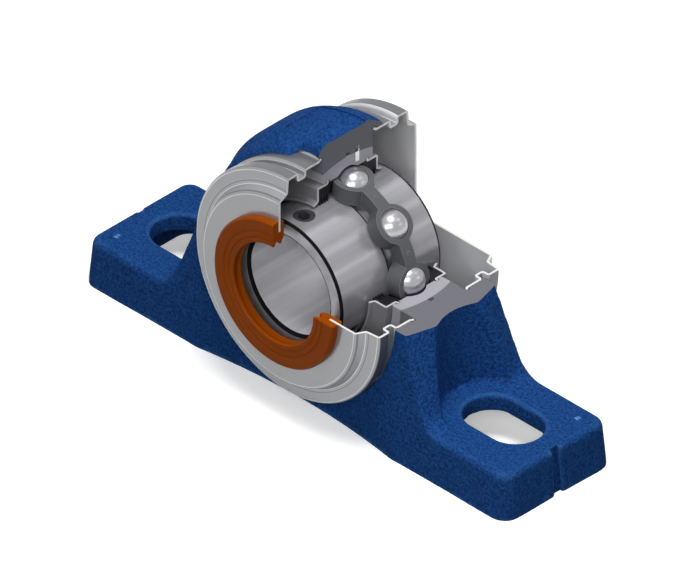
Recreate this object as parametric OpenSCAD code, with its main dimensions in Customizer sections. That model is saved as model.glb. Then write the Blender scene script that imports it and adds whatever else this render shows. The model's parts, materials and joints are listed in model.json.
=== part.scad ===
// Sectioned two-bolt pillow block with an insert ball bearing, two end covers and a shaft seal.
// X runs along the base, the shaft axis runs along Y with the open cover at -Y, and Z is up.
// The origin is at the underside of the base, straight below the middle of the bearing.
// One quarter, at +X and above the shaft axis, is cut away from the fixed and the outer pieces.

/* [Base] */
// Length of the base over both feet
base_length = 161; // [154:0.5:170]
// Width of the base at the feet, measured on the underside
base_width = 41.5; // [41:0.1:44]
// Height of the shaft axis above the underside
axis_height = 39.7; // [39.6:0.1:44]
// Thickness of the feet
foot_thickness = 14.3; // [12:0.1:18]
// Width of a bolt slot
slot_width = 16; // [12:0.5:18]
// Distance from the middle of the base to the near end of a bolt slot
slot_start = 46.7; // [45:0.1:48]
// Land between a bolt slot and the end of its foot
slot_land = 8.8; // [7:0.1:11]
// Thickness of a foot's plate over its cored underside
plate_thickness = 5.5; // [5:0.1:8]
// Wall round the cored underside of a foot
core_wall = 3.8; // [3:0.1:5]
// Distance from the middle of the base to the near end of the core under a foot
core_start = 33; // [32:0.5:38]
// Radius of the upright corners of the feet, on the underside
foot_corner_r = 5; // [4:0.5:7]
// Rounding of the top edges of the feet
foot_edge_r = 2; // [1:0.1:2.4]
// Draft of the cast faces, in degrees
draft_angle = 5.33; // [3:0.01:5.6]
// How far the long edges of the base are waisted in at the middle
waist_depth = 3.25; // [2:0.05:3.6]
// Length of the waist along the base
waist_length = 76; // [60:1:84]
// Width of the parting notch in the end faces
notch_width = 3; // [2:0.1:5]
// Depth of the parting notch in the end faces
notch_depth = 1.4; // [0.5:0.1:2]
// Distance of the cast witness dots from the ends of the base
dot_inset = 7; // [6:0.5:9]
// Distance of the cast witness dots from the middle of the foot's width
dot_offset = 13.5; // [10:0.5:14]
// Diameter of the cast witness dots on the feet
dot_d = 2.6; // [1.5:0.1:4]
// Height of the cast witness dots
dot_height = 0.5; // [0.2:0.1:1]

/* [Housing body] */
// Radius of the raised band round the crown
crown_r = 39.5; // [39:0.1:39.6]
// Half width of the raised band
crown_half_width = 8.6; // [8:0.1:9]
// Step from the raised band down to the collar in front of it and behind it
crown_step = 2.2; // [1.8:0.1:2.4]
// Lean of the flanks from upright, in degrees
flank_lean = 20.8; // [16:0.2:23]
// Half width of the crest of a flank
crest_half_width = 5.5; // [3:0.1:7]
// Lean of a flank's side away from its crest, in degrees
rib_lean = 15.1; // [8:0.1:17]
// Radius of the fillet between a flank and its foot
neck_fillet_r = 8; // [5:0.5:9]
// Radius of the washer clearance cut into a flank at the top of the foot
washer_clear_r = 14; // [12.5:0.1:14.6]
// Depth of the plain sunk panel on the crown
panel_depth = 1; // [0.4:0.1:1.2]
// Length of the plain sunk panel on the crown
panel_length = 35; // [20:1:40]
// Width of the plain sunk panel on the crown
panel_width = 13.6; // [8:0.2:14]
// Radius of the counterbore that takes an end cover
counterbore_r = 35; // [34.5:0.1:35.4]
// Depth of the snap groove at the bottom of the counterbore
snap_depth = 0.6; // [0.5:0.05:0.8]
// Width of the snap groove
snap_width = 1.5; // [1.3:0.1:1.8]
// Width of the notch in the top of the front collar, where a lever lifts the open cover
lever_notch_width = 16; // [10:0.5:20]
// Distance from the ball plane to the back wall of that notch
lever_notch_wall = 10.4; // [10.2:0.1:12]
// Radial clearance of the outer ring in its spherical seat
seat_clearance = 0.03; // [0.02:0.01:0.09]
// Depth of the grease groove in the seat
grease_groove_depth = 1.2; // [0.5:0.1:1.6]
// Width of the grease groove in the seat
grease_groove_width = 1.6; // [1:0.1:2]

/* [Insert bearing] */
// Bore of the inner ring
bore_d = 30; // [28:0.1:31]
// Outside diameter of the inner ring
inner_ring_d = 40; // [39.4:0.1:40.4]
// How far the inner ring reaches to the front of the ball plane
inner_front = 22.2; // [21.4:0.1:22.8]
// How far the inner ring reaches behind the ball plane
inner_back = 15.9; // [14:0.1:18]
// Chamfer on the inner ring's corners
ring_chamfer = 0.7; // [0.3:0.1:1]
// Outside diameter of the spherical outer ring
outer_ring_d = 62; // [61.8:0.02:62.4]
// Width of the outer ring
outer_ring_width = 19; // [18.4:0.1:19.6]
// Diameter of the outer ring's inner land
outer_land_d = 52.4; // [52:0.1:52.8]
// Diameter of a ball
ball_d = 9.525; // [9.3:0.005:9.6]
// Diameter of the circle through the ball centres
pitch_d = 46; // [45.8:0.05:46.2]
// Angle of the first ball from the top, towards the right foot
first_ball_angle = 5; // [0:1:39]
// Gap between a ball and each raceway
ball_play = 0.02; // [0.01:0.01:0.05]
// Radius of the raceway grooves as a share of the ball's diameter
raceway_conformity = 0.52; // [0.515:0.005:0.54]
// Diameter of the locating pin
pin_d = 1.5; // [1.2:0.1:2]
// Wall left between the locating pin's hole and the bearing's inner land
pin_floor = 1.4; // [1.2:0.1:1.8]
// Distance of the locating pin behind the ball plane
pin_offset = 3.7; // [3:0.1:4.5]
// How far the locating pin stands out of the outer ring
pin_proud = 1.7; // [1.2:0.1:2.2]
// Gap round the locating pin
pin_clearance = 0.2; // [0.18:0.01:0.3]
// Largest angle by which the bearing can tilt in its seat, in degrees
tilt_limit = 2; // [1:0.1:2.4]
// Thread diameter of a set screw
screw_d = 6; // [5:0.5:6]
// Distance of the set screws in front of the ball plane
screw_offset = 16.5; // [16:0.1:17.4]
// Angle from the top towards the right foot to the second set screw, in degrees
screw_spread = 120; // [90:5:150]
// Width across the flats of the hexagon socket
hex_flats = 3; // [2.5:0.1:3.2]
// Depth of the hexagon socket
hex_depth = 2.2; // [1.5:0.1:2.5]

/* [Cage] */
// Gap between the cage and the inner ring
cage_inner_gap = 0.7; // [0.4:0.05:1.2]
// Gap between the cage and the outer ring's land
cage_outer_gap = 0.7; // [0.5:0.05:1.2]
// Wall of the ring round a ball, at its thinnest
pocket_wall = 0.8; // [0.6:0.05:1]
// Clearance between a ball and its pocket
pocket_clearance = 0.14; // [0.1:0.01:0.2]
// Width of the web between two pockets
web_width = 4; // [3:0.1:5]
// Diameter of the moulding pip on a web
pip_d = 1.1; // [0.6:0.1:1.6]
// Height of the moulding pip
pip_height = 0.2; // [0.1:0.05:0.3]

/* [Shields and seal lips] */
// Sheet thickness of a shield
shield_t = 0.6; // [0.4:0.05:0.7]
// Distance from the ball plane to the crimp groove's middle
crimp_offset = 7.45; // [7.2:0.05:7.8]
// Depth of the crimp groove in the outer ring
crimp_depth = 0.7; // [0.6:0.05:0.9]
// Distance from the ball plane to a shield's flat face
shield_face = 11.2; // [10.9:0.1:11.6]
// Gap between a shield's flared inner edge and the inner ring, to the middle of its sheet
shield_gap = 0.9; // [0.7:0.05:1.2]
// How far the flare spreads away from the inner ring
flare_run = 0.7; // [0.4:0.1:1]
// How far the flare reaches out along the shaft
flare_length = 1.7; // [1.2:0.1:1.9]
// Gap between the parts of a shield and what it sits in
shield_fit = 0.1; // [0.05:0.01:0.15]
// Running gap between the seal lips and the inner ring
lip_gap = 0.12; // [0.08:0.01:0.2]
// How far the seal lips reach in from the rubber block, to their tips
lip_reach = 2.4; // [1.6:0.1:3]
// Gap between the rubber block's slanted side and the widest part of the cage
seal_backing_gap = 0.3; // [0.2:0.05:0.4]
// How far the rubber wedge runs on past the slanted side, along the outer ring's land
seal_wedge = 1; // [0.6:0.1:1.2]
// Number of seal lips on a side
lip_count = 4; // [3:1:5]

/* [End covers and shaft seal] */
// Sheet thickness of an end cover
cover_t = 0.7; // [0.6:0.05:1]
// Distance from the ball plane to a cover's flat disc, to the middle of its sheet
cover_disc = 25.8; // [25.4:0.1:27]
// Distance from the ball plane to a cover's step, to the middle of its sheet
cover_step = 22.6; // [22:0.1:23]
// Gap between a cover's lip and the counterbore
cover_fit = 0.1; // [0.05:0.01:0.2]
// Length of the cylinder between a cover's step and its bead
step_length = 3.7; // [3:0.1:4]
// Width of the bead that holds a cover at the housing's face
bead_width = 2.8; // [2.6:0.1:3.2]
// Depth of the bead
bead_depth = 2.2; // [1.6:0.1:2.6]
// How far the edge of the flat disc lies inside the step
disc_inset = 5.9; // [5:0.1:7]
// How far the short cone beside the disc spreads outwards
cone_run = 1.4; // [0.8:0.1:2.2]
// How far the ring beside the cone falls towards the step
ring_fall = 0.4; // [0.2:0.05:0.8]
// Inside radius of the open cover's hole
cover_hole_r = 19.1; // [18:0.1:19.5]
// Outside radius of the shaft seal
seal_outer_r = 22.5; // [22:0.1:24]
// Gap between the shaft seal's lip and the shaft
seal_lip_gap = 0.15; // [0.1:0.01:0.3]
// How far the shaft seal stands out in front of the open cover's disc
seal_proud = 2.6; // [2.4:0.1:3.4]
// How far the shaft seal reaches in behind the open cover's disc
seal_inside = 1.6; // [1.4:0.1:2]
// Depth of the groove between the shaft seal's two lips
seal_groove_depth = 1.4; // [0.8:0.1:2]
// Width of each of the shaft seal's lips at its tip
seal_tip_width = 0.4; // [0.3:0.1:0.6]

/* [Hidden] */
$fn = 96;
// One ball for each of the nodes ball_1 to ball_9
ball_count = 9;

// Cutters run past the faces that they cut by this much
over = 1;
// The feet's top edges are rounded in this many flats
edge_flats = 4;
// A bend in sheet is made of this many flats, and its radius is to the middle of the sheet
bend_flats = 4;
shield_bend_r = 0.75 * shield_t;
cover_bend_r = 0.9 * cover_t;
draft = tan(draft_angle);
housing_top = axis_height + crown_r;
collar_r = crown_r - crown_step;
slot_length = base_length / 2 - slot_land - slot_start;
bolt_spacing = 2 * slot_start + slot_length;
slot_r = slot_width / 2;
slot_end = (slot_length - slot_width) / 2;
bore_r = bore_d / 2;
inner_ring_r = inner_ring_d / 2;
outer_ring_r = outer_ring_d / 2;
outer_land_r = outer_land_d / 2;
ball_r = ball_d / 2;
pitch_r = pitch_d / 2;
seat_r = outer_ring_r + seat_clearance;
seat_half = outer_ring_width / 2;
snap_groove_r = counterbore_r + snap_depth;
race_r = ball_d * raceway_conformity;
inner_race_bottom = pitch_r - ball_r - ball_play;
outer_race_bottom = pitch_r + ball_r + ball_play;
cage_inner_r = inner_ring_r + cage_inner_gap;
cage_outer_r = outer_land_r - cage_outer_gap;
pocket_r = ball_r + pocket_clearance;
pocket_ring_r = pocket_r + pocket_wall;
crimp_r = outer_land_r + crimp_depth;
pin_foot = outer_land_r + pin_floor;
cover_r = counterbore_r - cover_fit - cover_t / 2;

// The flank at mid width touches the crown's circle and stands this far out at the axis
flank_reach = crown_r / cos(flank_lean);
// How far a flank's side falls back from the crest to the drafted front face at axis height
face_at_axis = base_width / 2 - draft * axis_height;
side_fall = tan(rib_lean) * (face_at_axis - crest_half_width);

// Lays a profile drawn as (radius, distance along the shaft) round the shaft axis
module on_shaft_axis() {
    translate([0, 0, axis_height])
        rotate([-90, 0, 0])
            children();
}

// A full turn of a profile round the shaft axis
module turned() {
    on_shaft_axis() rotate_extrude() children();
}

// Three quarters of a turn, which leaves out the quarter at +X above the axis
module turned_and_cut() {
    on_shaft_axis() rotate_extrude(angle = 270) children();
}

// Copies a front piece to the back
module at_both_faces() {
    children();
    mirror([0, 1, 0]) children();
}

// Copies a right-hand piece to the left
module at_both_feet() {
    children();
    mirror([1, 0, 0]) children();
}

function unit(v) = v / norm(v);

// The points of a round bend at b, between legs from a and towards c, with radius r
function bend(a, b, c, r) =
    let (
        u = unit(a - b),
        v = unit(c - b),
        half_angle = acos(u * v) / 2,
        centre = b + unit(u + v) * r / sin(half_angle),
        first = b + u * r / tan(half_angle) - centre,
        last = b + v * r / tan(half_angle) - centre
    )
    [for (i = [0 : bend_flats]) centre + r * unit(first + (last - first) * i / bend_flats)];

// A path with each of its inner corners bent to radius r
function bent(path, r) =
    let (n = len(path) - 1)
    [
        path[0],
        for (i = [1 : n - 1]) each bend(path[i - 1], path[i], path[i + 1], r),
        path[n]
    ];

// Square to the path on its left at point i, long enough to keep a sheet's thickness in a corner
function mitre(path, i) =
    let (
        before = unit(path[max(i, 1)] - path[max(i, 1) - 1]),
        after = unit(path[min(i, len(path) - 2) + 1] - path[min(i, len(path) - 2)]),
        both = before + after
    )
    2 * [-both.y, both.x] / (both * both);

// A strip of sheet of thickness t along a path, with its corners bent to radius r
module bent_sheet(path, t, r) {
    middle = bent(path, r);
    n = len(middle) - 1;
    polygon(concat(
        [for (i = [0 : n]) middle[i] + t / 2 * mitre(middle, i)],
        [for (i = [n : -1 : 0]) middle[i] - t / 2 * mitre(middle, i)]
    ));
}

// The feet's top edge, rounded in a few flats, as points (distance out, height) going up
function rounded_edge(half) =
    let (
        lift = foot_thickness - foot_edge_r,
        centre = half - draft * lift - foot_edge_r / cos(draft_angle)
    )
    [
        for (i = [0 : edge_flats])
            let (a = draft_angle + i * (90 - draft_angle) / edge_flats)
                [centre + foot_edge_r * cos(a), lift + foot_edge_r * sin(a)]
    ];

// The section of the feet: drafted sides that lean in, and rounded top edges
module drafted_section(half) {
    edge = rounded_edge(half);
    far_edge = [for (i = [edge_flats : -1 : 0]) [-edge[i].x, edge[i].y]];
    polygon(concat([[-half, 0], [half, 0]], edge, far_edge));
}

module foot_block() {
    inner_x = base_length / 2 - foot_corner_r;
    inner_y = base_width / 2 - foot_corner_r;
    translate([-inner_x, 0, 0])
        rotate([90, 0, 90])
            linear_extrude(2 * inner_x) drafted_section(base_width / 2);
    translate([0, inner_y, 0])
        rotate([90, 0, 0])
            linear_extrude(2 * inner_y) drafted_section(base_length / 2);
    for (x = [-inner_x, inner_x], y = [-inner_y, inner_y])
        translate([x, y, 0])
            rotate_extrude()
                intersection() {
                    drafted_section(foot_corner_r);
                    square([foot_corner_r, foot_thickness]);
                }
}

// The crown: a raised band, a shoulder down to the collar, and a collar that runs to the face
module crown() {
    band = crown_half_width;
    shoulder = band + crown_step;
    half = base_width / 2;
    collar_fall = 0.6;
    turned()
        polygon([
            [0, -half], [collar_r - collar_fall, -half], [collar_r, -shoulder],
            [crown_r, -band], [crown_r, band], [collar_r, shoulder],
            [collar_r - collar_fall, half], [0, half]
        ]);
}

// The web from the crown down to both feet, with sides that lean back from the crest
module flanks() {
    touch = [crown_r * cos(flank_lean), axis_height + crown_r * sin(flank_lean)];
    foot_x = flank_reach + tan(flank_lean) * axis_height;
    difference() {
        translate([0, base_width / 2, 0])
            rotate([90, 0, 0])
                linear_extrude(base_width)
                    polygon([
                        [-foot_x, 0], [foot_x, 0], touch, [0, axis_height], [-touch.x, touch.y]
                    ]);
        at_both_feet() at_both_faces() flank_side_cut();
    }
}

// Takes the side of one flank back from its crest to its front face
module flank_side_cut() {
    reach = 2 * axis_height;
    depth = base_width / 2 + over - crest_half_width;
    fall = tan(rib_lean) * depth * cos(flank_lean);
    translate([0, 0, axis_height])
        rotate([0, -flank_lean, 0])
            translate([0, 0, -reach])
                linear_extrude(2 * reach)
                    polygon([
                        [crown_r, -crest_half_width],
                        [crown_r - fall, -crest_half_width - depth],
                        [crown_r + reach, -crest_half_width - depth],
                        [crown_r + reach, -crest_half_width]
                    ]);
}

// The fillet that blends a flank into its foot, and carries the foot's rounded edges upwards
module neck_fillet() {
    root_x = flank_reach - side_fall + tan(flank_lean) * (axis_height - foot_thickness);
    run = neck_fillet_r * tan((90 - flank_lean) / 2);
    end_x = root_x + run;
    top = [root_x - run * sin(flank_lean), foot_thickness + run * cos(flank_lean)];
    difference() {
        translate([0, base_width / 2, 0])
            rotate([90, 0, 0])
                linear_extrude(base_width)
                    polygon([
                        [crown_r, foot_thickness - over], [end_x, foot_thickness - over],
                        [end_x, foot_thickness], top, [crown_r, top.y]
                    ]);
        translate([end_x, 0, foot_thickness + neck_fillet_r])
            rotate([-90, 0, 0])
                rotate_extrude() neck_cut_section();
    }
}

// Section that is turned about the middle of the neck fillet: distance from it, and along Y
module neck_cut_section() {
    skin = 0.02;
    edge = rounded_edge(base_width / 2);
    r = neck_fillet_r + foot_thickness - skin;
    upper = [for (i = [edge_flats : -1 : 0]) [r - edge[i].y, edge[i].x]];
    lower = [for (i = [0 : edge_flats]) [r - edge[i].y, -edge[i].x]];
    polygon(concat(
        [[0, -base_width], [r - edge[0].y, -base_width]], lower, upper,
        [[r - edge[0].y, base_width], [0, base_width]]
    ));
}

// The drafted front and back faces, as one long bar that the body is cut to
module face_envelope() {
    translate([-base_length, 0, 0])
        rotate([90, 0, 90])
            linear_extrude(2 * base_length)
                polygon([
                    [-base_width / 2, 0], [base_width / 2, 0],
                    [base_width / 2 - draft * housing_top, housing_top],
                    [draft * housing_top - base_width / 2, housing_top]
                ]);
}

module bolt_slot() {
    translate([bolt_spacing / 2, 0, -over]) {
        for (x = [-slot_end, slot_end])
            translate([x, 0, 0]) cylinder(r = slot_r, h = foot_thickness + 2 * over);
        translate([-slot_end, -slot_r, 0])
            cube([2 * slot_end, slot_width, foot_thickness + 2 * over]);
    }
}

// Room for the bolt's washer, cut into the flank round the slot's inner end
module washer_clearance() {
    rise = housing_top - foot_thickness;
    translate([bolt_spacing / 2 - slot_end, 0, foot_thickness])
        cylinder(r1 = washer_clear_r, r2 = washer_clear_r + draft / 2 * rise, h = rise);
}

// The waist is a very large arc, as deep as waist_depth over waist_length
module waist_cut() {
    waist_r = (pow(waist_length / 2, 2) + pow(waist_depth, 2)) / (2 * waist_depth);
    translate([0, -base_width / 2 + waist_depth - waist_r, -over])
        cylinder(r = waist_r, h = housing_top + 2 * over, $fn = 720);
}

module end_notch() {
    translate([base_length / 2 - notch_depth, -notch_width / 2, -over])
        cube([notch_depth + over, notch_width, foot_thickness + 2 * over]);
}

// The underside of a foot is cored out, which leaves a plate round the slot and a wall round that
module foot_core() {
    corner_r = 5;
    near_x = core_start + corner_r;
    far_x = base_length / 2 - core_wall - corner_r;
    half = base_width / 2 - core_wall;
    top = foot_thickness - plate_thickness;
    translate([0, 0, -over]) {
        for (x = [near_x, far_x], y = [corner_r - half, half - corner_r])
            translate([x, y, 0]) cylinder(r = corner_r, h = top + over);
        translate([near_x, -half, 0]) cube([far_x - near_x, 2 * half, top + over]);
        translate([core_start, corner_r - half, 0])
            cube([far_x - near_x + 2 * corner_r, 2 * (half - corner_r), top + over]);
    }
}

// Notch through the top of the front collar, in which a lever can lift the open cover out
module lever_notch() {
    translate([-lever_notch_width / 2, -base_width, axis_height])
        cube([lever_notch_width, base_width - lever_notch_wall, crown_r + over]);
}

// The plain sunk panel follows the crown's curve, with rounded corners
module crown_panel() {
    corner_r = 3;
    inner_x = panel_length / 2 - corner_r;
    inner_y = panel_width / 2 - corner_r;
    intersection() {
        turned()
            translate([crown_r - panel_depth, -panel_width])
                square([panel_depth + over, 2 * panel_width]);
        translate([0, 0, axis_height]) {
            for (x = [-inner_x, inner_x], y = [-inner_y, inner_y])
                translate([x, y, 0]) cylinder(r = corner_r, h = crown_r + over);
            translate([-inner_x, -panel_width / 2, 0])
                cube([2 * inner_x, panel_width, crown_r + over]);
            translate([-panel_length / 2, -inner_y, 0])
                cube([panel_length, 2 * inner_y, crown_r + over]);
        }
    }
}

// All that is turned inside the housing: seat, grease groove, counterbores and snap grooves
module housing_bore() {
    mouth = base_width / 2 + over;
    turned() {
        intersection() {
            circle(seat_r, $fn = 180);
            translate([0, -seat_half - over]) square([seat_r + over, 2 * (seat_half + over)]);
        }
        translate([0, -grease_groove_width / 2])
            square([seat_r + grease_groove_depth, grease_groove_width]);
        for (side = [-1, 1]) {
            translate([0, side > 0 ? seat_half : -mouth])
                square([counterbore_r, mouth - seat_half]);
            translate([0, side > 0 ? seat_half : -seat_half - snap_width])
                square([snap_groove_r, snap_width]);
        }
    }
}

// Slot in the top of the seat in which the locating pin swings as the bearing tilts
module pin_slot() {
    slot_half = pin_d / 2 + pin_clearance;
    swing = (outer_ring_r + pin_proud) * sin(tilt_limit) + pin_clearance;
    slot_top = outer_ring_r + pin_proud + 2 * pin_clearance;
    translate([0, pin_offset, axis_height]) {
        for (y = [-swing, swing]) translate([0, y, 0]) cylinder(r = slot_half, h = slot_top);
        translate([-slot_half, -swing, 0]) cube([2 * slot_half, 2 * swing, slot_top]);
    }
}

// The quarter that is cut away to show the inside
module quarter() {
    translate([0, -base_width, axis_height]) cube([base_length, 2 * base_width, base_length]);
}

module housing() {
    color([0.08, 0.25, 0.55])
        difference() {
            union() {
                foot_block();
                intersection() {
                    union() {
                        crown();
                        flanks();
                        at_both_feet() neck_fillet();
                    }
                    face_envelope();
                }
                for (side = [-1, 1])
                    translate([side * (base_length / 2 - dot_inset), side * dot_offset,
                               foot_thickness - over])
                        cylinder(d = dot_d, h = dot_height + over);
            }
            at_both_feet() {
                bolt_slot();
                washer_clearance();
                end_notch();
                foot_core();
            }
            at_both_faces() waist_cut();
            crown_panel();
            lever_notch();
            housing_bore();
            pin_slot();
            quarter();
        }
}

module outer_ring() {
    half = seat_half;
    groove_half = shield_t + shield_fit;
    corner = 0.4;
    color([0.78, 0.77, 0.8])
        difference() {
            turned_and_cut()
                difference() {
                    intersection() {
                        circle(outer_ring_r, $fn = 180);
                        polygon([
                            [outer_land_r, -half + corner], [outer_land_r + corner, -half],
                            [outer_ring_r + over, -half], [outer_ring_r + over, half],
                            [outer_land_r + corner, half], [outer_land_r, half - corner]
                        ]);
                    }
                    translate([outer_race_bottom - race_r, 0]) circle(race_r);
                    for (side = [-1, 1])
                        translate([outer_land_r - over, side * crimp_offset - groove_half])
                            square([crimp_depth + over, 2 * groove_half]);
                }
            translate([0, pin_offset, axis_height + pin_foot - pin_clearance])
                cylinder(d = pin_d + 2 * pin_clearance, h = outer_ring_r - pin_foot + over);
        }
}

module locating_pin() {
    color([0.93, 0.93, 0.95])
        difference() {
            translate([0, pin_offset, axis_height + pin_foot])
                cylinder(d = pin_d, h = outer_ring_r + pin_proud - pin_foot, $fn = 48);
            quarter();
        }
}

// Place of a set screw: a local Z axis that points straight out of the inner ring
module at_screw(i) {
    translate([0, -screw_offset, axis_height])
        rotate([0, i * screw_spread, 0])
            children();
}

module inner_ring() {
    c = ring_chamfer;
    thread_gap = 0.1;
    color([0.72, 0.72, 0.74])
        difference() {
            turned()
                difference() {
                    polygon([
                        [bore_r, -inner_front + c], [bore_r + c, -inner_front],
                        [inner_ring_r - c, -inner_front], [inner_ring_r, -inner_front + c],
                        [inner_ring_r, inner_back - c], [inner_ring_r - c, inner_back],
                        [bore_r + c, inner_back], [bore_r, inner_back - c]
                    ]);
                    translate([inner_race_bottom + race_r, 0]) circle(race_r);
                }
            for (i = [0, 1])
                at_screw(i) cylinder(d = screw_d + thread_gap, h = inner_ring_r + over, $fn = 48);
        }
}

// A socket set screw, flush with the ring, with a hexagon socket and a cup point
module set_screw(i) {
    sunk = 0.35;
    point_gap = 0.3;
    point = 0.6;
    cup_r = screw_d / 4;
    cup_depth = 0.8;
    skin = 0.01;
    top = inner_ring_r - sunk;
    foot = bore_r + point_gap;
    color([0.1, 0.1, 0.11])
        at_screw(i)
            difference() {
                translate([0, 0, foot]) {
                    cylinder(d1 = screw_d - 2 * point, d2 = screw_d, h = point, $fn = 48);
                    translate([0, 0, point])
                        cylinder(d = screw_d, h = top - foot - point, $fn = 48);
                }
                translate([0, 0, top - hex_depth])
                    cylinder(d = hex_flats / cos(30), h = hex_depth + over, $fn = 6);
                translate([0, 0, foot - skin])
                    cylinder(r1 = cup_r, r2 = cup_r / 8, h = cup_depth, $fn = 48);
            }
}

// Place of a ball: the origin at its centre and a local Z axis that points away from the shaft
module at_ball(i) {
    translate([0, 0, axis_height])
        rotate([0, first_ball_angle + i * 360 / ball_count, 0])
            translate([0, 0, pitch_r])
                children();
}

module ball(i) {
    color([0.95, 0.95, 0.97]) at_ball(i) sphere(ball_r);
}

// A flat-sided ring round the shaft axis, between two radii and as far as half each way
module band(inner, outer, half) {
    turned() translate([inner, -half]) square([outer - inner, 2 * half]);
}

// A ring with a ball pocket in the middle of each thick part, joined by thin webs with pips
module cage() {
    depth = cage_outer_r - cage_inner_r;
    color([0.3, 0.3, 0.32]) {
        difference() {
            intersection() {
                union() {
                    band(cage_inner_r - over, cage_outer_r + over, web_width / 2);
                    for (i = [0 : ball_count - 1])
                        at_ball(i)
                            translate([0, 0, cage_inner_r - pitch_r - over])
                                cylinder(r = pocket_ring_r, h = depth + 2 * over);
                }
                band(cage_inner_r, cage_outer_r, 2 * pocket_ring_r);
            }
            for (i = [0 : ball_count - 1]) at_ball(i) sphere(pocket_r);
        }
        for (i = [0 : ball_count - 1])
            at_ball(i + 0.5)
                translate([0, 0, cage_outer_r - pitch_r - over])
                    cylinder(d = pip_d, h = over + pip_height, $fn = 24);
    }
}

// Shield section at the back: crimped edge, cylindrical wall, flat face and flared inner edge
module shield_section() {
    wall_r = outer_land_r - shield_t / 2 - shield_fit;
    bent_sheet([
        [crimp_r - shield_fit, crimp_offset], [wall_r, crimp_offset],
        [wall_r, shield_face], [inner_ring_r + shield_gap + flare_run, shield_face],
        [inner_ring_r + shield_gap, shield_face + flare_length]
    ], shield_t, shield_bend_r);
}

module back_shield() {
    color([0.38, 0.38, 0.4]) turned_and_cut() shield_section();
}

module front_shield() {
    color([0.38, 0.38, 0.4]) turned_and_cut() mirror([0, 1]) shield_section();
}

// Seal section at the back: a rubber block inside the shield, with a wedge that runs out to the
// land of the outer ring, and with thin lips towards the inner ring
module seal_lip_section() {
    gap = shield_fit / 2;
    outer = outer_land_r - shield_t - shield_fit - gap;
    inner = inner_ring_r + lip_reach;
    tip_r = inner_ring_r + lip_gap;
    low = crimp_offset - shield_t / 2;
    wedge_end = low - gap;
    cage_side = pocket_ring_r + seal_backing_gap;
    high = shield_face - shield_t / 2 - gap;
    pitch = (high - low) / lip_count;
    root = 0.7 * pitch / 2;
    tip = 0.25 * pitch / 2;
    lips = [
        for (i = [lip_count - 1 : -1 : 0])
            let (y = low + (i + 0.5) * pitch)
                each [[inner, y + root], [tip_r, y + tip], [tip_r, y - tip], [inner, y - root]]
    ];
    polygon(concat(
        [
            [inner, wedge_end], [cage_outer_r, cage_side],
            [outer_land_r - gap, cage_side - seal_wedge], [outer_land_r - gap, wedge_end],
            [outer, wedge_end], [outer, high], [inner, high]
        ],
        lips
    ));
}

module back_seal_lip() {
    color([0.12, 0.12, 0.13]) turned_and_cut() seal_lip_section();
}

module front_seal_lip() {
    color([0.12, 0.12, 0.13]) turned_and_cut() mirror([0, 1]) seal_lip_section();
}

// A cover's section at the back, from radius inner out to the lip that snaps into its groove:
// disc, short cone, ring, cylinder, bead and lip
module cover_section(inner) {
    bead_out = cover_step - step_length;
    bead_in = bead_out - bead_width;
    bead_r = cover_r - bead_depth;
    disc_edge = cover_r - disc_inset;
    lip_start = seat_half + snap_width - cover_fit;
    lip_end = seat_half + cover_t / 2 + cover_fit;
    bent_sheet([
        [inner, cover_disc], [disc_edge, cover_disc], [disc_edge + cone_run, cover_step + ring_fall],
        [cover_r, cover_step], [cover_r, bead_out], [bead_r, bead_out], [bead_r, bead_in],
        [cover_r, bead_in], [cover_r, lip_start],
        [snap_groove_r - cover_t / 2 - cover_fit, lip_end]
    ], cover_t, cover_bend_r);
}

module back_cover() {
    color([0.68, 0.69, 0.71]) turned_and_cut() cover_section(0);
}

module front_cover() {
    color([0.68, 0.69, 0.71]) turned_and_cut() mirror([0, 1]) cover_section(cover_hole_r);
}

// The shaft seal grips the edge of the open cover in a groove, and has two lips towards the shaft
module shaft_seal() {
    gap = 0.03;
    lip_r = bore_r + seal_lip_gap;
    front = cover_disc + seal_proud;
    back = cover_disc - seal_inside;
    edge = 0.5;
    front_tip = front - edge / 2;
    back_tip = back + 2 * edge;
    groove_r = lip_r + seal_groove_depth;
    groove_middle = (front_tip + back_tip) / 2;
    line_r = 0.35;
    color([0.76, 0.36, 0.1])
        turned_and_cut()
            mirror([0, 1])
                difference() {
                    polygon([
                        [groove_r + edge, back], [lip_r, back_tip], [lip_r, back_tip + seal_tip_width],
                        [groove_r, groove_middle - edge / 2], [groove_r, groove_middle + edge / 2],
                        [lip_r, front_tip - seal_tip_width], [lip_r, front_tip],
                        [lip_r + edge / 2, front], [seal_outer_r - edge, front],
                        [seal_outer_r, front - edge], [seal_outer_r, back + edge],
                        [seal_outer_r - edge, back]
                    ]);
                    translate([cover_hole_r - gap, cover_disc - cover_t / 2 - gap])
                        square([seal_outer_r, cover_t + 2 * gap]);
                    for (r = [groove_r + edge / 2, cover_hole_r - edge])
                        translate([r, front + line_r / 4]) circle(line_r, $fn = 24);
                }
}

housing();
outer_ring();
locating_pin();
inner_ring();
set_screw(0);  // set_screw_1
set_screw(1);  // set_screw_2
cage();
ball(0);  // ball_1
ball(1);  // ball_2
ball(2);  // ball_3
ball(3);  // ball_4
ball(4);  // ball_5
ball(5);  // ball_6
ball(6);  // ball_7
ball(7);  // ball_8
ball(8);  // ball_9
front_shield();
back_shield();
front_seal_lip();
back_seal_lip();
front_cover();
back_cover();
shaft_seal();
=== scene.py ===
import json
import math

import bmesh
import bpy
from mathutils import Matrix, Vector


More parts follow.
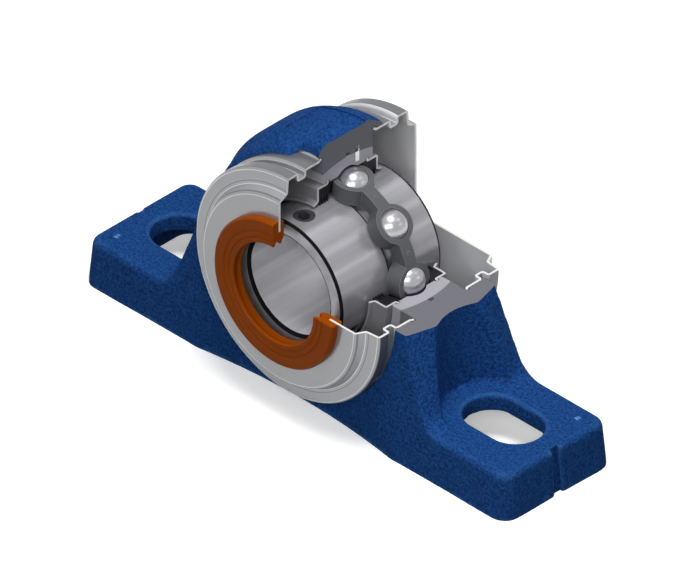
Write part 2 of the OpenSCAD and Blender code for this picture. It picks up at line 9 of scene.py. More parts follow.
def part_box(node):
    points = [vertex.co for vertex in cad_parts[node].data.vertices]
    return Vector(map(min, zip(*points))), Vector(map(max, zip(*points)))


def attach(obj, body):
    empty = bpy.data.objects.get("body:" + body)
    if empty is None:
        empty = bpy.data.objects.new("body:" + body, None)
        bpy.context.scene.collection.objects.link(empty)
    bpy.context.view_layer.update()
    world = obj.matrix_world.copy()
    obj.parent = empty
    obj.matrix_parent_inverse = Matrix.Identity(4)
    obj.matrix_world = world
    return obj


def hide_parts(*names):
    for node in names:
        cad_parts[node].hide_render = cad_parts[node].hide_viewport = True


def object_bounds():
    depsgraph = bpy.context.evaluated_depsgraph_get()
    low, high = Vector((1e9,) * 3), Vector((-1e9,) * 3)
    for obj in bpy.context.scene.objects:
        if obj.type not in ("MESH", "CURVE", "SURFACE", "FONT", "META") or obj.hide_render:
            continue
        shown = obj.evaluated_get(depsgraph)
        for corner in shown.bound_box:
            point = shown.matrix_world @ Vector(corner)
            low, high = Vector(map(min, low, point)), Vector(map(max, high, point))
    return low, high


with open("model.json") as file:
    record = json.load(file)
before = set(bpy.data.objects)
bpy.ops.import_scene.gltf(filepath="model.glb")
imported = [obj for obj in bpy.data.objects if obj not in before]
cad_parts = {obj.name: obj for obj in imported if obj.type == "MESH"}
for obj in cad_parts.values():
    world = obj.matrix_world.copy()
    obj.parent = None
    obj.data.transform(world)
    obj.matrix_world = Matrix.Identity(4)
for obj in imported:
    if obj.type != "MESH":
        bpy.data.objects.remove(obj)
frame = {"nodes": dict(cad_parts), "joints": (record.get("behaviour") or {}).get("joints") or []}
cad_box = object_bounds()

# Studio: a white floor under an orthographic camera that looks down the isometric diagonal, as the
# cutaway drawing does. One broad lamp overhead lights the tops, a weaker one in front lights the
# fronts, one beside the camera reaches into the cut, and bars along the shaft draw bands on metal.
MM = 0.001
PHOTO_W = 690
PHOTO_H = 587
PX_PER_MM = 3.73
ORIGIN_U = 347.6
ORIGIN_V = 371.8
CAMERA_DISTANCE = 600 * MM
AXIS = Vector(next(j["pos_m"] for j in frame["joints"] if j["name"] == "shaft_spin"))
LAMP_TARGET = Vector((0, 0, 40)) * MM
LAMPS = {
    "overhead": ((90, -60, 900), 320, 5.0),
    "front": ((240, -700, 440), 260, 1.3),
    "beside_camera": ((520, -520, 560), 260, 1.6),
}
BAR_ANGLES = (100, 58, 24)
BAR_AWAY = 700 * MM
BAR_BEHIND = 495 * MM
BAR_WIDTH = 36
BAR_LENGTH = 520
BAR_POWER = 0.22
FLOOR_HALF = 3000 * MM
FLOOR_GLOW = 0.4
SKY_ON_OBJECT = 0.09
SKY_SEEN = 0.8

to_camera = Vector((1, -1, 1)).normalized()
photo_right = Vector((1, 1, 0)).normalized()
photo_up = to_camera.cross(photo_right)
view_centre = (
    photo_right * (PHOTO_W / 2 - ORIGIN_U) + photo_up * (ORIGIN_V - PHOTO_H / 2)
) * (MM / PX_PER_MM)

camera_data = bpy.data.cameras.new("drawing_camera")
camera_data.type = "ORTHO"
camera_data.ortho_scale = PHOTO_W / PX_PER_MM * MM
camera = bpy.data.objects.new("drawing_camera", camera_data)
camera.location = view_centre + to_camera * CAMERA_DISTANCE
camera.rotation_euler = (-to_camera).to_track_quat("-Z", "Y").to_euler()
bpy.context.scene.collection.objects.link(camera)
bpy.context.scene.camera = camera
bpy.context.scene.view_settings.view_transform = "Standard"


def linear(hex_colour):
    """A colour written as sRGB hex, turned to the linear values that shaders take."""
    parts = [int(hex_colour[i : i + 2], 16) / 255 for i in (1, 3, 5)]
    return tuple(p / 12.92 if p <= 0.04045 else ((p + 0.055) / 1.055) ** 2.4 for p in parts) + (1,)


def add_node(tree, kind, sockets=(), **settings):
    """One node with its settings, and its inputs given as values or as outputs that feed them."""
    node = tree.nodes.new(kind)
    for name, value in settings.items():
        setattr(node, name, value)
    for name, value in dict(sockets).items():
        if isinstance(value, bpy.types.NodeSocket):
            tree.links.new(value, node.inputs[name])
        else:
            node.inputs[name].default_value = value
    return node


def new_material(name):
    """An empty node material, with its tree and its output node."""
    material = bpy.data.materials.new(name)
    material.use_nodes = True
    material.node_tree.nodes.clear()
    output = add_node(material.node_tree, "ShaderNodeOutputMaterial")
    return material, material.node_tree, output


def hang_lamp(name, place, width, length, power):
    """A rectangular lamp at a place in metres, with its sides in millimetres."""
    lamp = bpy.data.lights.new(name, "AREA")
    lamp.shape = "RECTANGLE"
    lamp.size = width * MM
    lamp.size_y = length * MM
    lamp.energy = power
    holder = bpy.data.objects.new(name, lamp)
    holder.location = place
    bpy.context.scene.collection.objects.link(holder)
    return holder


def seen_or_mirrored(tree):
    """1 for rays from the camera, or mirrored or let through by the object, and 0 for the light."""
    rays = add_node(tree, "ShaderNodeLightPath")
    seen = add_node(
        tree, "ShaderNodeMath",
        {0: rays.outputs["Is Camera Ray"], 1: rays.outputs["Is Glossy Ray"]}, operation="MAXIMUM",
    )
    seen = add_node(
        tree, "ShaderNodeMath",
        {0: seen.outputs[0], 1: rays.outputs["Is Transmission Ray"]}, operation="MAXIMUM",
    )
    return seen.outputs[0]


for name, (place_mm, side_mm, power) in LAMPS.items():
    place = Vector(place_mm) * MM
    lamp = hang_lamp(name, place, side_mm, side_mm, power)
    lamp.rotation_euler = (LAMP_TARGET - place).to_track_quat("-Z", "Y").to_euler()

for number, angle in enumerate(BAR_ANGLES):
    up = math.radians(angle)
    offset = Vector((BAR_AWAY * math.cos(up), BAR_BEHIND, BAR_AWAY * math.sin(up)))
    bar = hang_lamp(f"bar_{number + 1}", AXIS + offset, BAR_WIDTH, BAR_LENGTH, BAR_POWER)
    bar.rotation_euler = (0, math.radians(90) - up, 0)

floor_mesh = bpy.data.meshes.new("floor")
floor_corners = [
    (-FLOOR_HALF, -FLOOR_HALF, 0), (FLOOR_HALF, -FLOOR_HALF, 0),
    (FLOOR_HALF, FLOOR_HALF, 0), (-FLOOR_HALF, FLOOR_HALF, 0),
]
floor_mesh.from_pydata(floor_corners, [], [(0, 1, 2, 3)])
floor = bpy.data.objects.new("floor", floor_mesh)
bpy.context.scene.collection.objects.link(floor)

# White paper: it looks white where it is seen or mirrored, and throws little light on the object.
white_paper, tree, output = new_material("white_paper")
seen = seen_or_mirrored(tree)
shade = add_node(tree, "ShaderNodeValToRGB", {"Fac": seen})
shade.color_ramp.elements[0].color = linear("#404040")
shade.color_ramp.elements[1].color = linear("#FFFFFF")
paper = add_node(tree, "ShaderNodeBsdfDiffuse", {"Color": shade.outputs[0]})
lift = add_node(tree, "ShaderNodeMath", {0: seen, 1: FLOOR_GLOW}, operation="MULTIPLY")
glow = add_node(
    tree, "ShaderNodeEmission", {"Color": linear("#FFFFFF"), "Strength": lift.outputs[0]}
)
lit_paper = add_node(tree, "ShaderNodeAddShader", {0: paper.outputs[0], 1: glow.outputs[0]})
tree.links.new(lit_paper.outputs[0], output.inputs["Surface"])
floor_mesh.materials.append(white_paper)

world = bpy.data.worlds.new("studio")
bpy.context.scene.world = world
world.use_nodes = True
tree = world.node_tree
tree.nodes.clear()
level = add_node(
    tree, "ShaderNodeMapRange",
    {"Value": seen_or_mirrored(tree), "To Min": SKY_ON_OBJECT, "To Max": SKY_SEEN},
)
sky = add_node(
    tree, "ShaderNodeBackground", {"Color": linear("#FFFFFF"), "Strength": level.outputs[0]}
)
add_node(tree, "ShaderNodeOutputWorld", {"Surface": sky.outputs[0]})

# Housing: one grey-iron casting with sand-cast sides, rounded by the mould, then bored and faced.
# It is painted blue as cast, and the sawn quarter and the bored seat show bare iron.
CAST_VOXEL = 0.6 * MM
CAST_SMOOTHING = 6
CAST_FACES_KEPT = 0.45
BASE_SPARE = 4 * MM
CROWN_FROM = 50 * MM
CROWN_SMOOTHING = 45
CROWN_R = 39.5 * MM
CROWN_HALF = 8.6 * MM
PANEL_R = 38.9 * MM
PANEL_HALF = 6.8 * MM
PANEL_TURN = 52
PANEL_CUTTER_R = 44 * MM
PLUG_R = 36 * MM
SEAT_R = 31.03 * MM
SEAT_HALF = 9.5 * MM
SEAT_STEPS = 12
COUNTERBORE_R = 35 * MM
SNAP_R = 35.6 * MM
SNAP_WIDTH = 1.5 * MM
GREASE_R = 32.2 * MM
GREASE_HALF = 0.8 * MM
FACE_AT_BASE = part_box("housing")[1].y
FACE_DRAFT = math.tan(math.radians(5.33))
FOOT_TOP = 14.3 * MM
DOT_R = 0.75 * MM
DOT_X = 73.6 * MM
DOT_Y = 13.8 * MM
END_NOTCH_HALF = 1.5 * MM
END_NOTCH_DEPTH = 1.4 * MM
LEVER_NOTCH_HALF = 8 * MM
LEVER_NOTCH_WALL = 10.4 * MM
LEVER_NOTCH_FLOOR = 20 * MM
CUT = 0.02 * MM
OUTSIDE = 100 * MM
TURN_STEPS = 192
CRISP_ANGLE = 35
SAND_GRAIN = 0.75 * MM
ORANGE_PEEL = 0.8 * MM
IRON_FLAKE = 0.25 * MM


def make_piece(name, mesh):
    """A new object from a bmesh, which is freed."""
    data = bpy.data.meshes.new(name)
    mesh.to_mesh(data)
    mesh.free()
    piece = bpy.data.objects.new(name, data)
    bpy.context.scene.collection.objects.link(piece)
    return piece


def welded_copy(source, name):
    """A new object with its own copy of source's mesh, with the frame's split corners welded."""
    mesh = bmesh.new()
    mesh.from_mesh(source.data)
    bmesh.ops.remove_doubles(mesh, verts=mesh.verts, dist=0.001 * MM)
    return make_piece(name, mesh)


def apply_modifiers(piece):
    """Turns a piece's modifiers into its mesh."""
    graph = bpy.context.evaluated_depsgraph_get()
    made = bpy.data.meshes.new_from_object(piece.evaluated_get(graph))
    piece.modifiers.clear()
    old = piece.data
    piece.data = made
    bpy.data.meshes.remove(old)


def combine(piece, other, operation):
    """Joins or cuts a piece with another closed mesh, and removes that mesh."""
    step = piece.modifiers.new(operation.lower(), "BOOLEAN")
    step.operation = operation
    step.solver = "MANIFOLD"
    step.object = other
    apply_modifiers(piece)
    bpy.data.objects.remove(other)


def turned(name, section, turn=360, start=0):
    """A closed section of (radius, place along Y) turned round the shaft, from +X through -Z."""
    whole = turn == 360
    rows = TURN_STEPS if whole else round(TURN_STEPS * turn / 360) + 1
    steps = rows if whole else rows - 1
    verts = []
    for i in range(rows):
        angle = math.radians(start + turn * i / steps)
        for radius, along in section:
            verts.append((radius * math.cos(angle), along, AXIS.z - radius * math.sin(angle)))
    count = len(section)
    faces = []
    for i in range(steps):
        a = i * count
        b = (i + 1) % rows * count
        for k in range(count):
            m = (k + 1) % count
            faces.append((a + k, a + m, b + m, b + k))
    if not whole:
        last = steps * count
        faces.append(tuple(range(count))[::-1])
        faces.append(tuple(range(last, last + count)))
    data = bpy.data.meshes.new(f"{name}_outline")
    data.from_pydata(verts, [], faces)
    mesh = bmesh.new()
    mesh.from_mesh(data)
    bpy.data.meshes.remove(data)
    bmesh.ops.remove_doubles(mesh, verts=mesh.verts, dist=0.001 * MM)
    bmesh.ops.recalc_face_normals(mesh, faces=mesh.faces)
    return make_piece(name, mesh)


def block(name, low, high):
    """A rectangular cutter between two corners."""
    mesh = bmesh.new()
    bmesh.ops.create_cube(mesh, size=1)
    for vert in mesh.verts:
        vert.co = Vector(l + (h - l) * (c + 0.5) for l, h, c in zip(low, high, vert.co))
    return make_piece(name, mesh)


# The whole casting comes first: the sawn solid with its own other half, filled where it was bored.
casting = welded_copy(frame["nodes"]["housing"], "housing_casting")
other_half = welded_copy(frame["nodes"]["housing"], "other_half")
other_half.data.transform(Matrix.Rotation(math.pi, 4, "Z"))
combine(casting, other_half, "UNION")
plug = turned("plug", [(0, -1), (PLUG_R, -1), (PLUG_R, 1), (0, 1)])
for vert in plug.data.vertices:
    side = 1 if vert.co.y > 0 else -1
    vert.co.y = side * (FACE_AT_BASE - FACE_DRAFT * vert.co.z)
combine(casting, plug, "UNION")
crown_fill = turned("crown_fill", [
    (0, -CROWN_HALF), (CROWN_R, -CROWN_HALF), (CROWN_R, CROWN_HALF), (0, CROWN_HALF),
])
combine(casting, crown_fill, "UNION")
lever_notch = block(
    "lever_notch", (-LEVER_NOTCH_HALF, -OUTSIDE, AXIS.z + LEVER_NOTCH_FLOOR),
    (LEVER_NOTCH_HALF, -LEVER_NOTCH_WALL, AXIS.z + PLUG_R),
)
combine(casting, lever_notch, "DIFFERENCE")
for vert in casting.data.vertices:
    if vert.co.z < CUT:
        vert.co.z = -BASE_SPARE

# The sand mould rounds every edge, and the crown the most.
remesh = casting.modifiers.new("sand mould", "REMESH")
remesh.mode = "VOXEL"
remesh.voxel_size = CAST_VOXEL
rounding = casting.modifiers.new("mould radii", "SMOOTH")
rounding.factor = 0.5
rounding.iterations = CAST_SMOOTHING
apply_modifiers(casting)
mesh = bmesh.new()
mesh.from_mesh(casting.data)
crown = [
    vert for vert in mesh.verts
    if vert.co.z > CROWN_FROM and math.hypot(vert.co.x, vert.co.z - AXIS.z) > PLUG_R - MM
]
for _ in range(CROWN_SMOOTHING):
    bmesh.ops.smooth_vert(
        mesh, verts=crown, factor=0.5, use_axis_x=True, use_axis_y=True, use_axis_z=True
    )
mesh.to_mesh(casting.data)
mesh.free()
thin = casting.modifiers.new("fewer faces", "DECIMATE")
thin.ratio = CAST_FACES_KEPT
apply_modifiers(casting)

# The bore is turned after casting: seat, grease groove, counterbores and the covers' snap grooves.
seat_places = [SEAT_HALF * (i / SEAT_STEPS) for i in range(-SEAT_STEPS, SEAT_STEPS + 1)]
front_arc = [(math.sqrt(SEAT_R ** 2 - y ** 2), y) for y in seat_places if y < -GREASE_HALF]
back_arc = [(math.sqrt(SEAT_R ** 2 - y ** 2), y) for y in seat_places if y > GREASE_HALF]
mouth = FACE_AT_BASE + 3 * MM
snap_end = SEAT_HALF + SNAP_WIDTH
bore = turned("bore", [
    (0, -mouth), (COUNTERBORE_R, -mouth), (COUNTERBORE_R, -snap_end),
    (SNAP_R, -snap_end), (SNAP_R, -SEAT_HALF), *front_arc,
    (SEAT_R, -GREASE_HALF), (GREASE_R, -GREASE_HALF),
    (GREASE_R, GREASE_HALF), (SEAT_R, GREASE_HALF),
    *back_arc, (SNAP_R, SEAT_HALF), (SNAP_R, snap_end),
    (COUNTERBORE_R, snap_end), (COUNTERBORE_R, mouth), (0, mouth),
])
combine(casting, bore, "DIFFERENCE")

# The end notches, the crown's sunk panel and the witness dots are too small to live through the
# smoothing, so they are made again here. Then the base is faced and the quarter is sawn out.
for side in (-1, 1):
    near_end = (cad_box[1][0] - END_NOTCH_DEPTH) * side
    far_end = (cad_box[1][0] + MM) * side
    end_notch = block(
        "end_notch", (min(near_end, far_end), -END_NOTCH_HALF, -MM),
        (max(near_end, far_end), END_NOTCH_HALF, FOOT_TOP + MM),
    )
    for vert in end_notch.data.vertices:
        vert.co.x -= side * FACE_DRAFT * vert.co.z
    combine(casting, end_notch, "DIFFERENCE")
panel = turned("panel", [
    (PANEL_R, -PANEL_HALF), (PANEL_CUTTER_R, -PANEL_HALF),
    (PANEL_CUTTER_R, PANEL_HALF), (PANEL_R, PANEL_HALF),
], turn=PANEL_TURN, start=270 - PANEL_TURN / 2)
combine(casting, panel, "DIFFERENCE")
for side in (-1, 1):
    mesh = bmesh.new()
    bmesh.ops.create_uvsphere(mesh, u_segments=16, v_segments=10, radius=DOT_R)
    dot_middle = (side * DOT_X, side * DOT_Y, FOOT_TOP - DOT_R / 5)
    bmesh.ops.translate(mesh, verts=mesh.verts, vec=dot_middle)
    combine(casting, make_piece("witness_dot", mesh), "UNION")
base_face = block("base_face", (-OUTSIDE, -OUTSIDE, -OUTSIDE / 5), (OUTSIDE, OUTSIDE, 0))
combine(casting, base_face, "DIFFERENCE")
quarter = block("quarter", (0, -OUTSIDE, AXIS.z), (OUTSIDE, OUTSIDE, 2 * OUTSIDE))
combine(casting, quarter, "DIFFERENCE")
casting.data.polygons.foreach_set("use_smooth", [True] * len(casting.data.polygons))
casting.data.set_sharp_from_angle(angle=math.radians(CRISP_ANGLE))


def sprayed_enamel(name, dark, light):
    """Blue enamel on a sand-cast skin: the sand shows as a fine mottle and as orange peel, drawn
    about twice as coarse as real sand so that it shows, and a painted highlight makes the paint
    paler on sharp edges up to the feet's tops."""
    material, tree, output = new_material(name)
    place = add_node(tree, "ShaderNodeTexCoord")
    mottle = add_node(
        tree, "ShaderNodeTexNoise",
        {
            "Vector": place.outputs["Object"], "Scale": 1 / SAND_GRAIN, "Detail": 3.0,
            "Roughness": 0.6,
        },
    )
    paint = add_node(tree, "ShaderNodeValToRGB", {"Fac": mottle.outputs["Fac"]})
    paint.color_ramp.elements[0].position = 0.37
    paint.color_ramp.elements[0].color = linear(dark)
    paint.color_ramp.elements[1].position = 0.63
    paint.color_ramp.elements[1].color = linear(light)
    # Painted highlight: the colour turns paler blue (#4279BE) on sharp edges, found by pointiness,
    # only up to the feet's tops.
    bend = add_node(tree, "ShaderNodeNewGeometry")
    painted_edge_highlight = add_node(
        tree, "ShaderNodeMapRange",
        {
            "Value": bend.outputs["Pointiness"], "From Min": 0.508, "From Max": 0.54,
            "To Min": 0, "To Max": 0.45,
        },
    )
    height = add_node(tree, "ShaderNodeSeparateXYZ", {"Vector": place.outputs["Object"]})
    on_a_foot = add_node(
        tree, "ShaderNodeMath", {0: height.outputs["Z"], 1: FOOT_TOP + MM}, operation="LESS_THAN"
    )
    painted_edge_highlight = add_node(
        tree, "ShaderNodeMath", {0: painted_edge_highlight.outputs[0], 1: on_a_foot.outputs[0]},
        operation="MULTIPLY",
    )
    edged = add_node(
        tree, "ShaderNodeMix",
        {"Factor": painted_edge_highlight.outputs[0], "A": paint.outputs[0], "B": linear("#4279BE")},
        data_type="RGBA",
    )
    peel = add_node(
        tree, "ShaderNodeBump",
        {"Height": mottle.outputs["Fac"], "Strength": 1.0, "Distance": ORANGE_PEEL},
    )
    enamel = add_node(
        tree, "ShaderNodeBsdfPrincipled",
        {
            "Base Color": edged.outputs["Result"], "Roughness": 0.7, "Specular IOR Level": 0.03,
            "Normal": peel.outputs[0],
        },
    )
    tree.links.new(enamel.outputs[0], output.inputs["Surface"])
    return material


blue_paint = sprayed_enamel("blue_enamel_on_sand_cast_iron", "#163B75", "#275AA1")
# The witness dots' tops get this much paler enamel as a painted glint.
painted_glint_enamel = sprayed_enamel("painted_glint_blue_enamel", "#356CB4", "#78B0EC")

# Sawn grey iron: dull and even, with graphite flakes that are just coarse enough to show.
bare_iron, tree, output = new_material("sawn_grey_iron")
place = add_node(tree, "ShaderNodeTexCoord")
flakes = add_node(
    tree, "ShaderNodeTexNoise",
    {"Vector": place.outputs["Object"], "Scale": 1 / IRON_FLAKE, "Detail": 2.0},
)
iron_colour = add_node(tree, "ShaderNodeValToRGB", {"Fac": flakes.outputs["Fac"]})
iron_colour.color_ramp.elements[0].color = linear("#707178")
iron_colour.color_ramp.elements[1].color = linear("#7D7E85")
iron = add_node(
    tree, "ShaderNodeBsdfPrincipled",
    {"Base Color": iron_colour.outputs[0], "Roughness": 0.6, "Specular IOR Level": 0.15},
)
tree.links.new(iron.outputs[0], output.inputs["Surface"])


def mark_faces(piece, material, test):
    """Gives one more material to the faces that pass a test of (middle, normal, radius)."""
    piece.data.materials.append(material)
    number = len(piece.data.materials) - 1
    for face in piece.data.polygons:
        radius = math.hypot(face.center.x, face.center.z - AXIS.z)
        if test(face.center, face.normal, radius):
            face.material_index = number


def without_paint(middle, normal, radius):
    """True on the sawn quarter, on the faced base and in everything that was bored."""
    sawn_upright = abs(middle.x) < CUT and normal.x > 0.9
    sawn_level = abs(middle.z - AXIS.z) < CUT and normal.z > 0.9
    inward = -(normal.x * middle.x + normal.z * (middle.z - AXIS.z)) / max(radius, MM)
    beside_the_seat = abs(middle.y) < snap_end + CUT
    bored = radius < SNAP_R + CUT and (beside_the_seat or inward > 0.7)
    return sawn_upright or sawn_level or middle.z < CUT or bored


def on_a_dot(middle, normal, radius):
    """True on the tops of the witness dots, where a paler paint is drawn as a painted glint."""
    from_dot = math.hypot(abs(middle.x) - DOT_X, abs(middle.y) - DOT_Y)
    return middle.z > FOOT_TOP + 0.2 * MM and from_dot < DOT_R


casting.data.materials.clear()
casting.data.materials.append(blue_paint)
mark_faces(casting, bare_iron, without_paint)
mark_faces(casting, painted_glint_enamel, on_a_dot)
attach(casting, "unit_housing")
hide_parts("housing")

# Outer ring: through-hardened bearing steel, ground all over, with a spherical outside that tips
# in the housing's seat. Ground steel looks pale and even on its sawn section.


def edge_tint(tree, hex_colour, edge_colour, reach, outline=None):
    """A colour that changes to another within reach (mm) of every edge, past a thin outline."""
    rounded = add_node(tree, "ShaderNodeBevel", {"Radius": reach * MM}, samples=6)
    surface = add_node(tree, "ShaderNodeNewGeometry")
    likeness = add_node(
        tree, "ShaderNodeVectorMath",
        {0: rounded.outputs["Normal"], 1: surface.outputs["Normal"]}, operation="DOT_PRODUCT",
    )
    ramp = add_node(tree, "ShaderNodeValToRGB", {"Fac": likeness.outputs["Value"]})
    ramp.color_ramp.elements[0].position = 0.96 if outline else 0.92
    ramp.color_ramp.elements[0].color = linear(edge_colour)
    ramp.color_ramp.elements[1].position = 0.996 if outline else 0.99
    ramp.color_ramp.elements[1].color = linear(hex_colour)
    if outline:
        stop = ramp.color_ramp.elements.new(0.986)
        stop.color = linear(outline)
    return ramp.outputs[0]


def steel(name, hex_colour, roughness, share=0.5, edge=None, reach=0.2, outline=None):
    """Steel sheet or a ground face: a share of its light is mirrored, and the rest is scattered."""
    material, tree, output = new_material(name)
    colour = linear(hex_colour)
    if edge:
        colour = edge_tint(tree, hex_colour, edge, reach, outline)
    metal = add_node(
        tree, "ShaderNodeBsdfPrincipled",
        {
            "Base Color": colour, "Metallic": share, "Roughness": roughness,
            "Specular IOR Level": 0.6 * share,
        },
    )
    tree.links.new(metal.outputs[0], output.inputs["Surface"])
    return material


def finish_node(name, material):
    """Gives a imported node, whose shape is right as it is, its real finish."""
    node = frame["nodes"][name]
    node.data.materials.clear()
    node.data.materials.append(material)
    return node


finish_node("outer_ring", steel("ground_bearing_steel", "#B2B1BB", 0.4, 0.1))

# Locating pin: a dowel of bright drawn steel, pressed into the outer ring's hole. Its top stands
# in a groove of the seat and stops the ring from turning, and it is the brightest spot of the cut.
finish_node("locating_pin", steel("bright_drawn_steel", "#F0F0F0", 0.3))

# Inner ring: bearing steel, turned and ground to a satin finish, with soft painted reflection
# bands along the shaft. Its chamfers stay black from the hardening furnace, because the grinding
# wheel doesn't reach them, and thin dark lines are drawn at its bore, its back edge and both
# edges of the race. The bore is painted paler than the rest, as painted light in its shade.
RING_R = 20 * MM
BORE_R = 15 * MM
RING_BACK = 15.9 * MM
RING_CHAMFER = 0.7 * MM
RACE_EDGE = 3.94 * MM
REFLECTION_BAND_WIDTH = 4 * MM
BORE_LINE_HALF = 0.2 * MM
RACE_LINE_HALF = 0.1 * MM
BACK_LINE_HALF = 0.35 * MM


def axis_distance(tree, place):
    """How far a point is from the shaft's axis, in the shader."""
    from_axis = add_node(
        tree, "ShaderNodeVectorMath", {0: place.outputs["Object"], 1: AXIS}, operation="SUBTRACT"
    )
    across = add_node(
        tree, "ShaderNodeVectorMath", {0: from_axis.outputs["Vector"], 1: (1, 0, 1)},
        operation="MULTIPLY",
    )
    distance = add_node(
        tree, "ShaderNodeVectorMath", {0: across.outputs["Vector"]}, operation="LENGTH"
    )
    return distance.outputs["Value"]


def painted_reflection_bands(tree, place, dark, light):
    """Soft bands along the shaft, put at random places round a turned ring as painted reflections.
    """
    section = add_node(
        tree, "ShaderNodeVectorMath", {0: place.outputs["Object"], 1: (1, 0, 1)},
        operation="MULTIPLY",
    )
    reflection_noise = add_node(
        tree, "ShaderNodeTexNoise",
        {"Vector": section.outputs["Vector"], "Scale": 1 / REFLECTION_BAND_WIDTH, "Detail": 2.0},
    )
    ramp = add_node(tree, "ShaderNodeValToRGB", {"Fac": reflection_noise.outputs["Fac"]})
    ramp.color_ramp.elements[0].position = 0.35
    ramp.color_ramp.elements[0].color = linear(dark)
    ramp.color_ramp.elements[1].position = 0.65
    ramp.color_ramp.elements[1].color = linear(light)
    return ramp.outputs[0]


satin_steel, tree, output = new_material("satin_ground_steel")
place = add_node(tree, "ShaderNodeTexCoord")
along = add_node(tree, "ShaderNodeSeparateXYZ", {"Vector": place.outputs["Object"]})
lines = add_node(
    tree, "ShaderNodeMath",
    {
        0: axis_distance(tree, place), 1: BORE_R + RING_CHAMFER + BORE_LINE_HALF / 2,
        2: BORE_LINE_HALF,
    },
    operation="COMPARE",
)
for line_at, half_width in (
    (RING_BACK - RING_CHAMFER, BACK_LINE_HALF), (RACE_EDGE, RACE_LINE_HALF),
    (-RACE_EDGE, RACE_LINE_HALF),
):
    line = add_node(
        tree, "ShaderNodeMath", {0: along.outputs["Y"], 1: line_at, 2: half_width},
        operation="COMPARE",
    )
    lines = add_node(
        tree, "ShaderNodeMath", {0: lines.outputs[0], 1: line.outputs[0]}, operation="MAXIMUM"
    )
tint = add_node(
    tree, "ShaderNodeMix",
    {
        # Painted reflection bands on the ring's satin steel.
        "Factor": lines.outputs[0], "A": painted_reflection_bands(tree, place, "#9A9A9F", "#AEAEB3"),
        "B": linear("#2A2A2C"),
    },
    data_type="RGBA",
)
ground = add_node(
    tree, "ShaderNodeBsdfPrincipled",
    {
        "Base Color": tint.outputs["Result"], "Metallic": 0.35, "Roughness": 0.25,
        "Specular IOR Level": 0.3,
    },
)
tree.links.new(ground.outputs[0], output.inputs["Surface"])

# Painted light: the bore gets a much paler steel than the ring, to light it in its shade.
bore_steel_painted_lit, tree, output = new_material("bore_steel_painted_pale")
place = add_node(tree, "ShaderNodeTexCoord")
honed = add_node(
    tree, "ShaderNodeBsdfPrincipled",
    {
        "Base Color": painted_reflection_bands(tree, place, "#D2D2D6", "#F4F4F8"), "Metallic": 0.2,
        "Roughness": 0.3, "Specular IOR Level": 0.2,
    },
)
tree.links.new(honed.outputs[0], output.inputs["Surface"])
scale_black = steel("black_hardening_scale", "#1C1C1E", 0.6, 0.0)


def on_a_chamfer(middle, normal, radius):
    """True on the slanted corners of the inner ring."""
    slanted = 0.2 < abs(normal.y) < 0.98
    outer = radius > RING_R - RING_CHAMFER - CUT
    return slanted and (outer or radius < BORE_R + RING_CHAMFER + CUT)


def in_the_bore(middle, normal, radius):
    """True on the honed cylinder that grips the shaft."""
    return radius < BORE_R + 0.1 * MM and abs(normal.y) < 0.3


inner_ring = finish_node("inner_ring", satin_steel)
mark_faces(inner_ring, scale_black, on_a_chamfer)
mark_faces(inner_ring, bore_steel_painted_lit, in_the_bore)

# Set screws: M6 alloy steel with a hexagon socket, turned in until they bite the shaft. Their
# black oxide finish is dark and a little glossy, and it is drawn darker within 0.3 mm of edges.
black_oxide = steel("black_oxide_steel", "#4A4B4F", 0.4, 0.3, "#18181A", 0.3)
for name in ("set_screw_1", "set_screw_2"):
    finish_node(name, black_oxide)

# Cage: one injection moulding in dark grey glass-filled nylon, snapped over the balls. The mould
# leaves it satin; its edges get a painted highlight, with a darker line drawn just inside each.
nylon, tree, output = new_material("moulded_grey_nylon")
plastic = add_node(
    tree, "ShaderNodeBsdfPrincipled",
    {
        # Painted highlight (#85868A) on the edges, with a darker line (#333437) drawn inside it.
        "Base Color": edge_tint(tree, "#5C5D61", "#85868A", 0.3, "#333437"),
        "Roughness": 0.45, "Specular IOR Level": 0.3,
    },
)
tree.links.new(plastic.outputs[0], output.inputs["Surface"])
finish_node("cage", nylon)

# Balls: nine of chromium steel, lapped round and smooth, and held by the cage in the race. They
# mirror the room, softly, because a film of grease covers them.
lapped_steel = steel("lapped_chromium_steel", "#B4B4B9", 0.28, 0.9)
for number in range(1, 10):
    finish_node(f"ball_{number}", lapped_steel)

# Shields: cold-rolled steel sheet, pressed and crimped into the outer ring's grooves. The rolled
# skin is dull grey, with a painted highlight on its bends and edges and a darker line drawn
# inside it, and the sawn edge is brighter still.


def on_the_cut(middle, normal, radius):
    """True on the two planes where the quarter was sawn out."""
    upright = abs(middle.x) < CUT and abs(normal.x) > 0.9
    level = abs(middle.z - AXIS.z) < CUT and abs(normal.z) > 0.9
    return upright or level


# Painted highlight (#D8D8DC) within 0.3 mm of each edge, with a darker line (#5A5A5E) inside it.
pressed_steel = steel("pressed_cold_rolled_steel", "#949498", 0.45, 0.2, "#D8D8DC", 0.3, "#5A5A5E")
sheared_edge = steel("sheared_steel_edge", "#D8D8DC", 0.5, 0.3)
for name in ("front_shield", "back_shield"):
    mark_faces(finish_node(name, pressed_steel), sheared_edge, on_the_cut)

# Seal lips: black nitrile rubber, moulded as one comb of lips and bonded inside each shield. The
# rubber is matt, and nearly black even in full light.
nitrile, tree, output = new_material("moulded_nitrile_rubber")
rubber = add_node(
    tree, "ShaderNodeBsdfPrincipled",
    {"Base Color": linear("#1A1A1C"), "Roughness": 0.5, "Specular IOR Level": 0.2},
)
tree.links.new(rubber.outputs[0], output.inputs["Surface"])
for name in ("front_seal_lip", "back_seal_lip"):
    finish_node(name, nitrile)
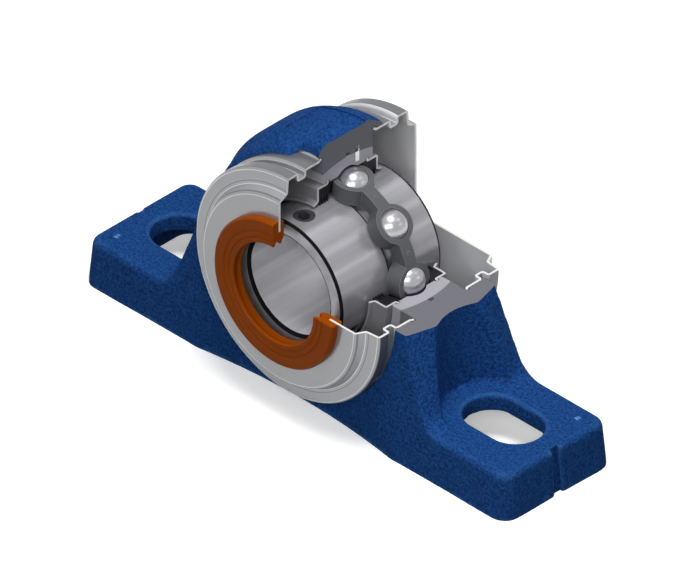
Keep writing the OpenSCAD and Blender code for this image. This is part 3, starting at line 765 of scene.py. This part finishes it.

# End covers: deep-drawn steel sheet, zinc plated, snapped into the housing's grooves. A painted
# shade line and a painted highlight line are drawn at each pair of bends, given here by radius in
# millimetres. The side towards the balls is painted brighter than the outside, as painted light
# inside the covers' shade.
BEND_PAIRS = ((34.9, 34.2), (31.2, 30.3), (29.2, 28.4))
BEND_LINE_HALF = 0.12 * MM
zinc_plate, tree, output = new_material("zinc_plated_sheet")
place = add_node(tree, "ShaderNodeTexCoord")
distance = axis_distance(tree, place)
painted_bend_lights = []
for pair in BEND_PAIRS:
    for bend, brightness in zip(pair, (0.5, 1.0)):
        line = add_node(
            tree, "ShaderNodeMath", {0: distance, 1: bend * MM, 2: BEND_LINE_HALF},
            operation="COMPARE",
        )
        level = add_node(
            tree, "ShaderNodeMath", {0: line.outputs[0], 1: brightness}, operation="MULTIPLY"
        )
        painted_bend_lights.append(level.outputs[0])
lines = painted_bend_lights[0]
for level in painted_bend_lights[1:]:
    lines = add_node(tree, "ShaderNodeMath", {0: lines, 1: level}, operation="MAXIMUM").outputs[0]
# Painted light: a shade line (#808184) and a highlight line (#DDDEE0) at each pair of bends.
tint = add_node(tree, "ShaderNodeValToRGB", {"Fac": lines})
tint.color_ramp.elements[0].color = linear("#A9AAAD")
tint.color_ramp.elements[1].color = linear("#DDDEE0")
painted_shade_stop = tint.color_ramp.elements.new(0.5)
painted_shade_stop.color = linear("#808184")
plated = add_node(
    tree, "ShaderNodeBsdfPrincipled",
    {"Base Color": tint.outputs[0], "Metallic": 0.4, "Roughness": 0.27, "Specular IOR Level": 0.3},
)
tree.links.new(plated.outputs[0], output.inputs["Surface"])
# Painted light: the faces towards the balls get a paler zinc, to light them in the covers' shade.
zinc_painted_lit = steel("zinc_painted_lit_inside", "#E6E7EA", 0.4, 0.1)
bright_edge = steel("bright_sheared_edge", "#F4F4F4", 0.5, 0.2)


def inside_a_cover(middle, normal, radius):
    """True on the faces that look towards the balls."""
    return abs(middle.y) > SEAT_HALF and normal.y * middle.y < -0.5 * abs(middle.y)


for name in ("front_cover", "back_cover"):
    cover = finish_node(name, zinc_plate)
    mark_faces(cover, zinc_painted_lit, inside_a_cover)
    mark_faces(cover, bright_edge, on_the_cut)

# Shaft seal: one ring moulded in orange silicone, stretched over the edge of the open cover. The
# rubber scatters light under a faint sheen, so its colour stays even all round.
silicone, tree, output = new_material("moulded_orange_silicone")
orange = add_node(
    tree, "ShaderNodeBsdfPrincipled",
    {"Base Color": linear("#9C4802"), "Roughness": 0.4, "Specular IOR Level": 0.05},
)
tree.links.new(orange.outputs[0], output.inputs["Surface"])
finish_node("shaft_seal", silicone)
